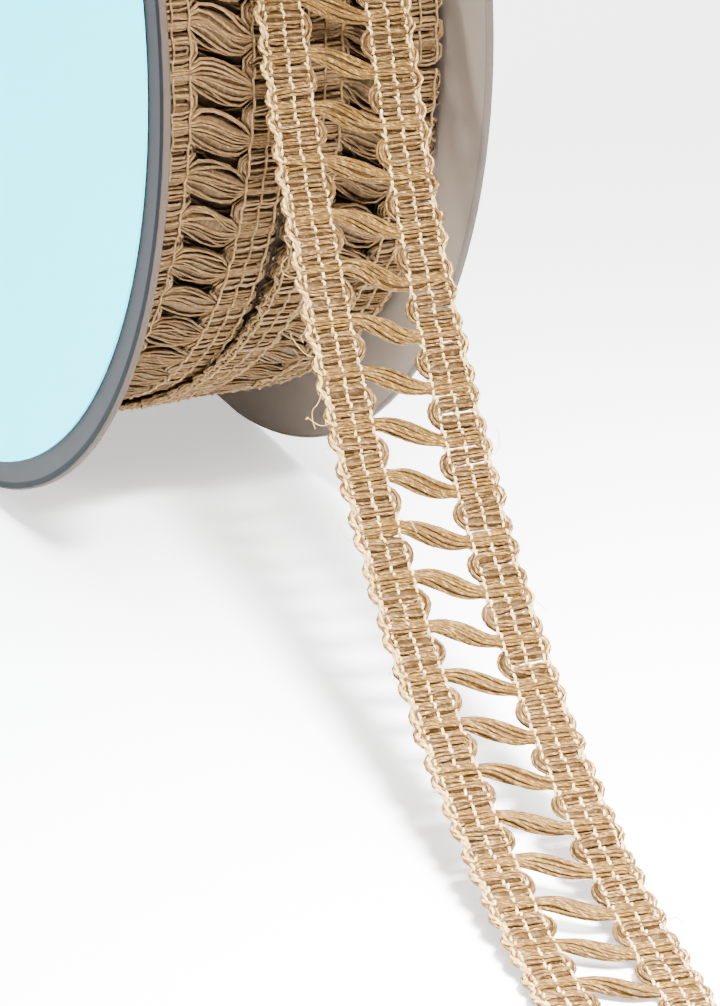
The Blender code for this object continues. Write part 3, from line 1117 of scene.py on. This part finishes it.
# How one bundle is built: whole all round where it is seen from both sides, and only its
# outward side, with fewer points, where it lies on the roll.
LOOSE_BUILD = {
    "sides": 5,
    "core_sides": 8,
    "core": 0.86,
    "crowd": 0.14,
    "stray": 0.30,
    "full": True,
    "rail_points": 7,
    "bar_points": 11,
    "weft_points": 30,
    "bar_strands": 16,
    "weft_strands": 8,
    "row_rest": 0.00120,
    "row_full": 0.00152,
    "bar_end": 0.00078,
    "bar_half": 0.00100,
    "bar_shape": 1.1,
    "bar_high": 0.00045,
    "bow": 0.012,
    "twist": 0.8,
    "radius": 0.00028,
    "warp_radius": 0.00029,
    "warp_dive": 1.0,
    "up": (0.0, -0.35, 0.94),
}
ROLL_BUILD = {
    **LOOSE_BUILD,
    "sides": 3,
    "core_sides": 6,
    "core": 0.72,
    "crowd": 0.24,
    "stray": 0.32,
    "full": False,
    "rail_points": 5,
    "bar_points": 6,
    "weft_points": 18,
    "bar_strands": 12,
    "weft_strands": 5,
    "row_rest": 0.00125,
    "bar_end": 0.00175,
    "bar_half": 0.00205,
    "bar_shape": 0.55,
    "bar_high": 0.00025,
    "bow": 0.040,
    "twist": 0.0,
    "radius": 0.00034,
    "warp_radius": 0.00034,
    "warp_dive": 0.2,
}
UNDER_BUILD = {
    **ROLL_BUILD,
    "rail_points": 2,
    "bar_points": 5,
    "bar_strands": 6,
    "core_sides": 4,
}

# The edge threads' ply radii on the card's side and the other, of the loose end and of the
# last turn; how far a ply stands off the thread's middle (radii); and the way across the braid.
LOOSE_PLIES = (0.00031, 0.00019)
TURN_PLIES = (0.00030, 0.00024)
PLY_OFF = 0.95
ACROSS = (1.0, 0.0, 0.0)


def bars_piece(name, course, bars, look, build, seed):
    """A run of bars as one object."""
    yarns = Tubes()
    add_bars(yarns, course, bars, build, np.random.default_rng(seed))
    return yarns.object(name, look)


def rails_piece(name, course, bars, look, build, seed, short=0):
    """Both rails' wefts; the far flange's side has short fewer of them."""
    rng = np.random.default_rng(seed)
    yarns = Tubes()
    for side, run in ((-1, bars), (1, bars[: len(bars) - short])):
        add_rails(yarns, course, side, run, build, rng)
    return yarns.object(name, look)


def warps_piece(name, course, start, stop, look, build, steps, seed):
    """Both rails' warp threads, with so many steps a weft row."""
    threads = Tubes()
    lines = warp_lines(course, start, stop, steps, build, np.random.default_rng(seed))
    threads.add(lines, build["warp_radius"], ACROSS, 4 if build["full"] else 3)
    return threads.object(name, look)


def edges_piece(name, course, start, stop, look, plies, sides, steps, seed):
    """Both edges' threads; plies are their ply radii, with so many steps a pitch."""
    rng = np.random.default_rng(seed)
    threads = Tubes()
    for side, radius in zip((-1, 1), plies):
        lines = edge_lines(course, side, start, stop, steps, radius * PLY_OFF, rng)
        threads.add(lines, radius, ACROSS, sides)
    return threads.object(name, look)


def dress_reel():
    """The reel's solids in their boards and card."""
    board, taupe, card = (board_material(name) for name in BOARDS)
    # The near flange's inner side is painted lighter than its outer face, which the card spot
    # lights strongly.
    inner_side(board, (NEAR_LOW[0] + NEAR_HIGH[0]) / 2, INNER_SIDE_LIGHTER)
    ring_lines(board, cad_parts["near_flange"], NEAR_SHADOW_AND_EDGE_RINGS)
    ring_lines(taupe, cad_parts["far_flange"], FAR_RINGS)
    dress("near_flange", board)
    dress("far_flange", taupe)
    dress("barrel", taupe)
    dress("face_card", card)


def main():
    """The whole scene; every piece rides on the one body."""
    camera()
    stage()
    # The roll's yarn and thread are shaded copies of the loose end's: painted shade.
    tan, rail, shaded, thread, under, cream, edge = (yarn_material(name) for name in YARNS)
    # The under turns' look is coloured dark as painted shade between the bars.
    core_look = core_material()
    dress_reel()

    core = roll_core(core_look)
    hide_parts("wound_braid")
    loose = tail_course()
    # The ground sheet wears the roll's shaded yarn copy: painted shade between the loose end's
    # strands.
    ground, flat = ground_sheet(loose, TAIL_LIES_FROM, TAIL_ENDS, shaded)
    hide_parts("loose_end")
    start, stop = int(TAIL_LIES_FROM), int(TAIL_ENDS)
    cut = stop - CUT_SHORT
    bars = np.arange(start, stop)
    build = LOOSE_BUILD
    strays = Tubes()
    fibres = stray_lines(loose, np.random.default_rng(21))
    strays.add(fibres, FIBRE_RADIUS, FIBRE_UP, FIBRE_SIDES)
    riders = [
        bars_piece("loose_bars", loose, bars, tan, build, seed=3),
        rails_piece("loose_rails", loose, bars, rail, build, seed=4, short=1),
        warps_piece("loose_warps", loose, start, cut, cream, build, steps=5, seed=5),
        edges_piece(
            "loose_edges", loose, start, cut, edge, LOOSE_PLIES, sides=5, steps=20, seed=9
        ),
        strays.object("loose_fibres", edge),
    ]

    first = math.ceil(loose.places[0])
    bars = np.arange(first, start)
    build = ROLL_BUILD
    pieces = [
        core,
        bars_piece("last_turn_bars", loose, bars, shaded, build, seed=6),
        rails_piece("last_turn_rails", loose, bars, shaded, build, seed=7),
        warps_piece("last_turn_warps", loose, first, start, thread, build, steps=4, seed=8),
        edges_piece(
            "last_turn_edges", loose, first, start, thread, TURN_PLIES, sides=3, steps=16, seed=18
        ),
    ]
    bars = np.arange(BARS_ROUND)
    for k, (middle, first_bar) in enumerate(zip(COLUMN_MIDDLES, COLUMN_FIRST_BAR)):
        name = f"column_{k + 1}"
        course = column_course(middle, WOUND_RADIUS - THICK / 2, first_bar)
        below = column_course(
            middle + UNDER_ALONG, WOUND_RADIUS - UNDER_DEPTH, first_bar - UNDER_TURNED
        )
        pieces += [
            bars_piece(name + "_bars", course, bars, shaded, build, seed=10 + k),
            rails_piece(name + "_rails", course, bars, shaded, build, seed=12 + k),
            # The bars of the turn below take the yarn coloured dark as painted shade.
            bars_piece(name + "_under_bars", below, bars, under, UNDER_BUILD, seed=14 + k),
            warps_piece(
                name + "_warps", course, 0, BARS_ROUND, thread, build, steps=3, seed=16 + k
            ),
        ]
    for piece in pieces + riders + [ground]:
        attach(piece, "root")


main()
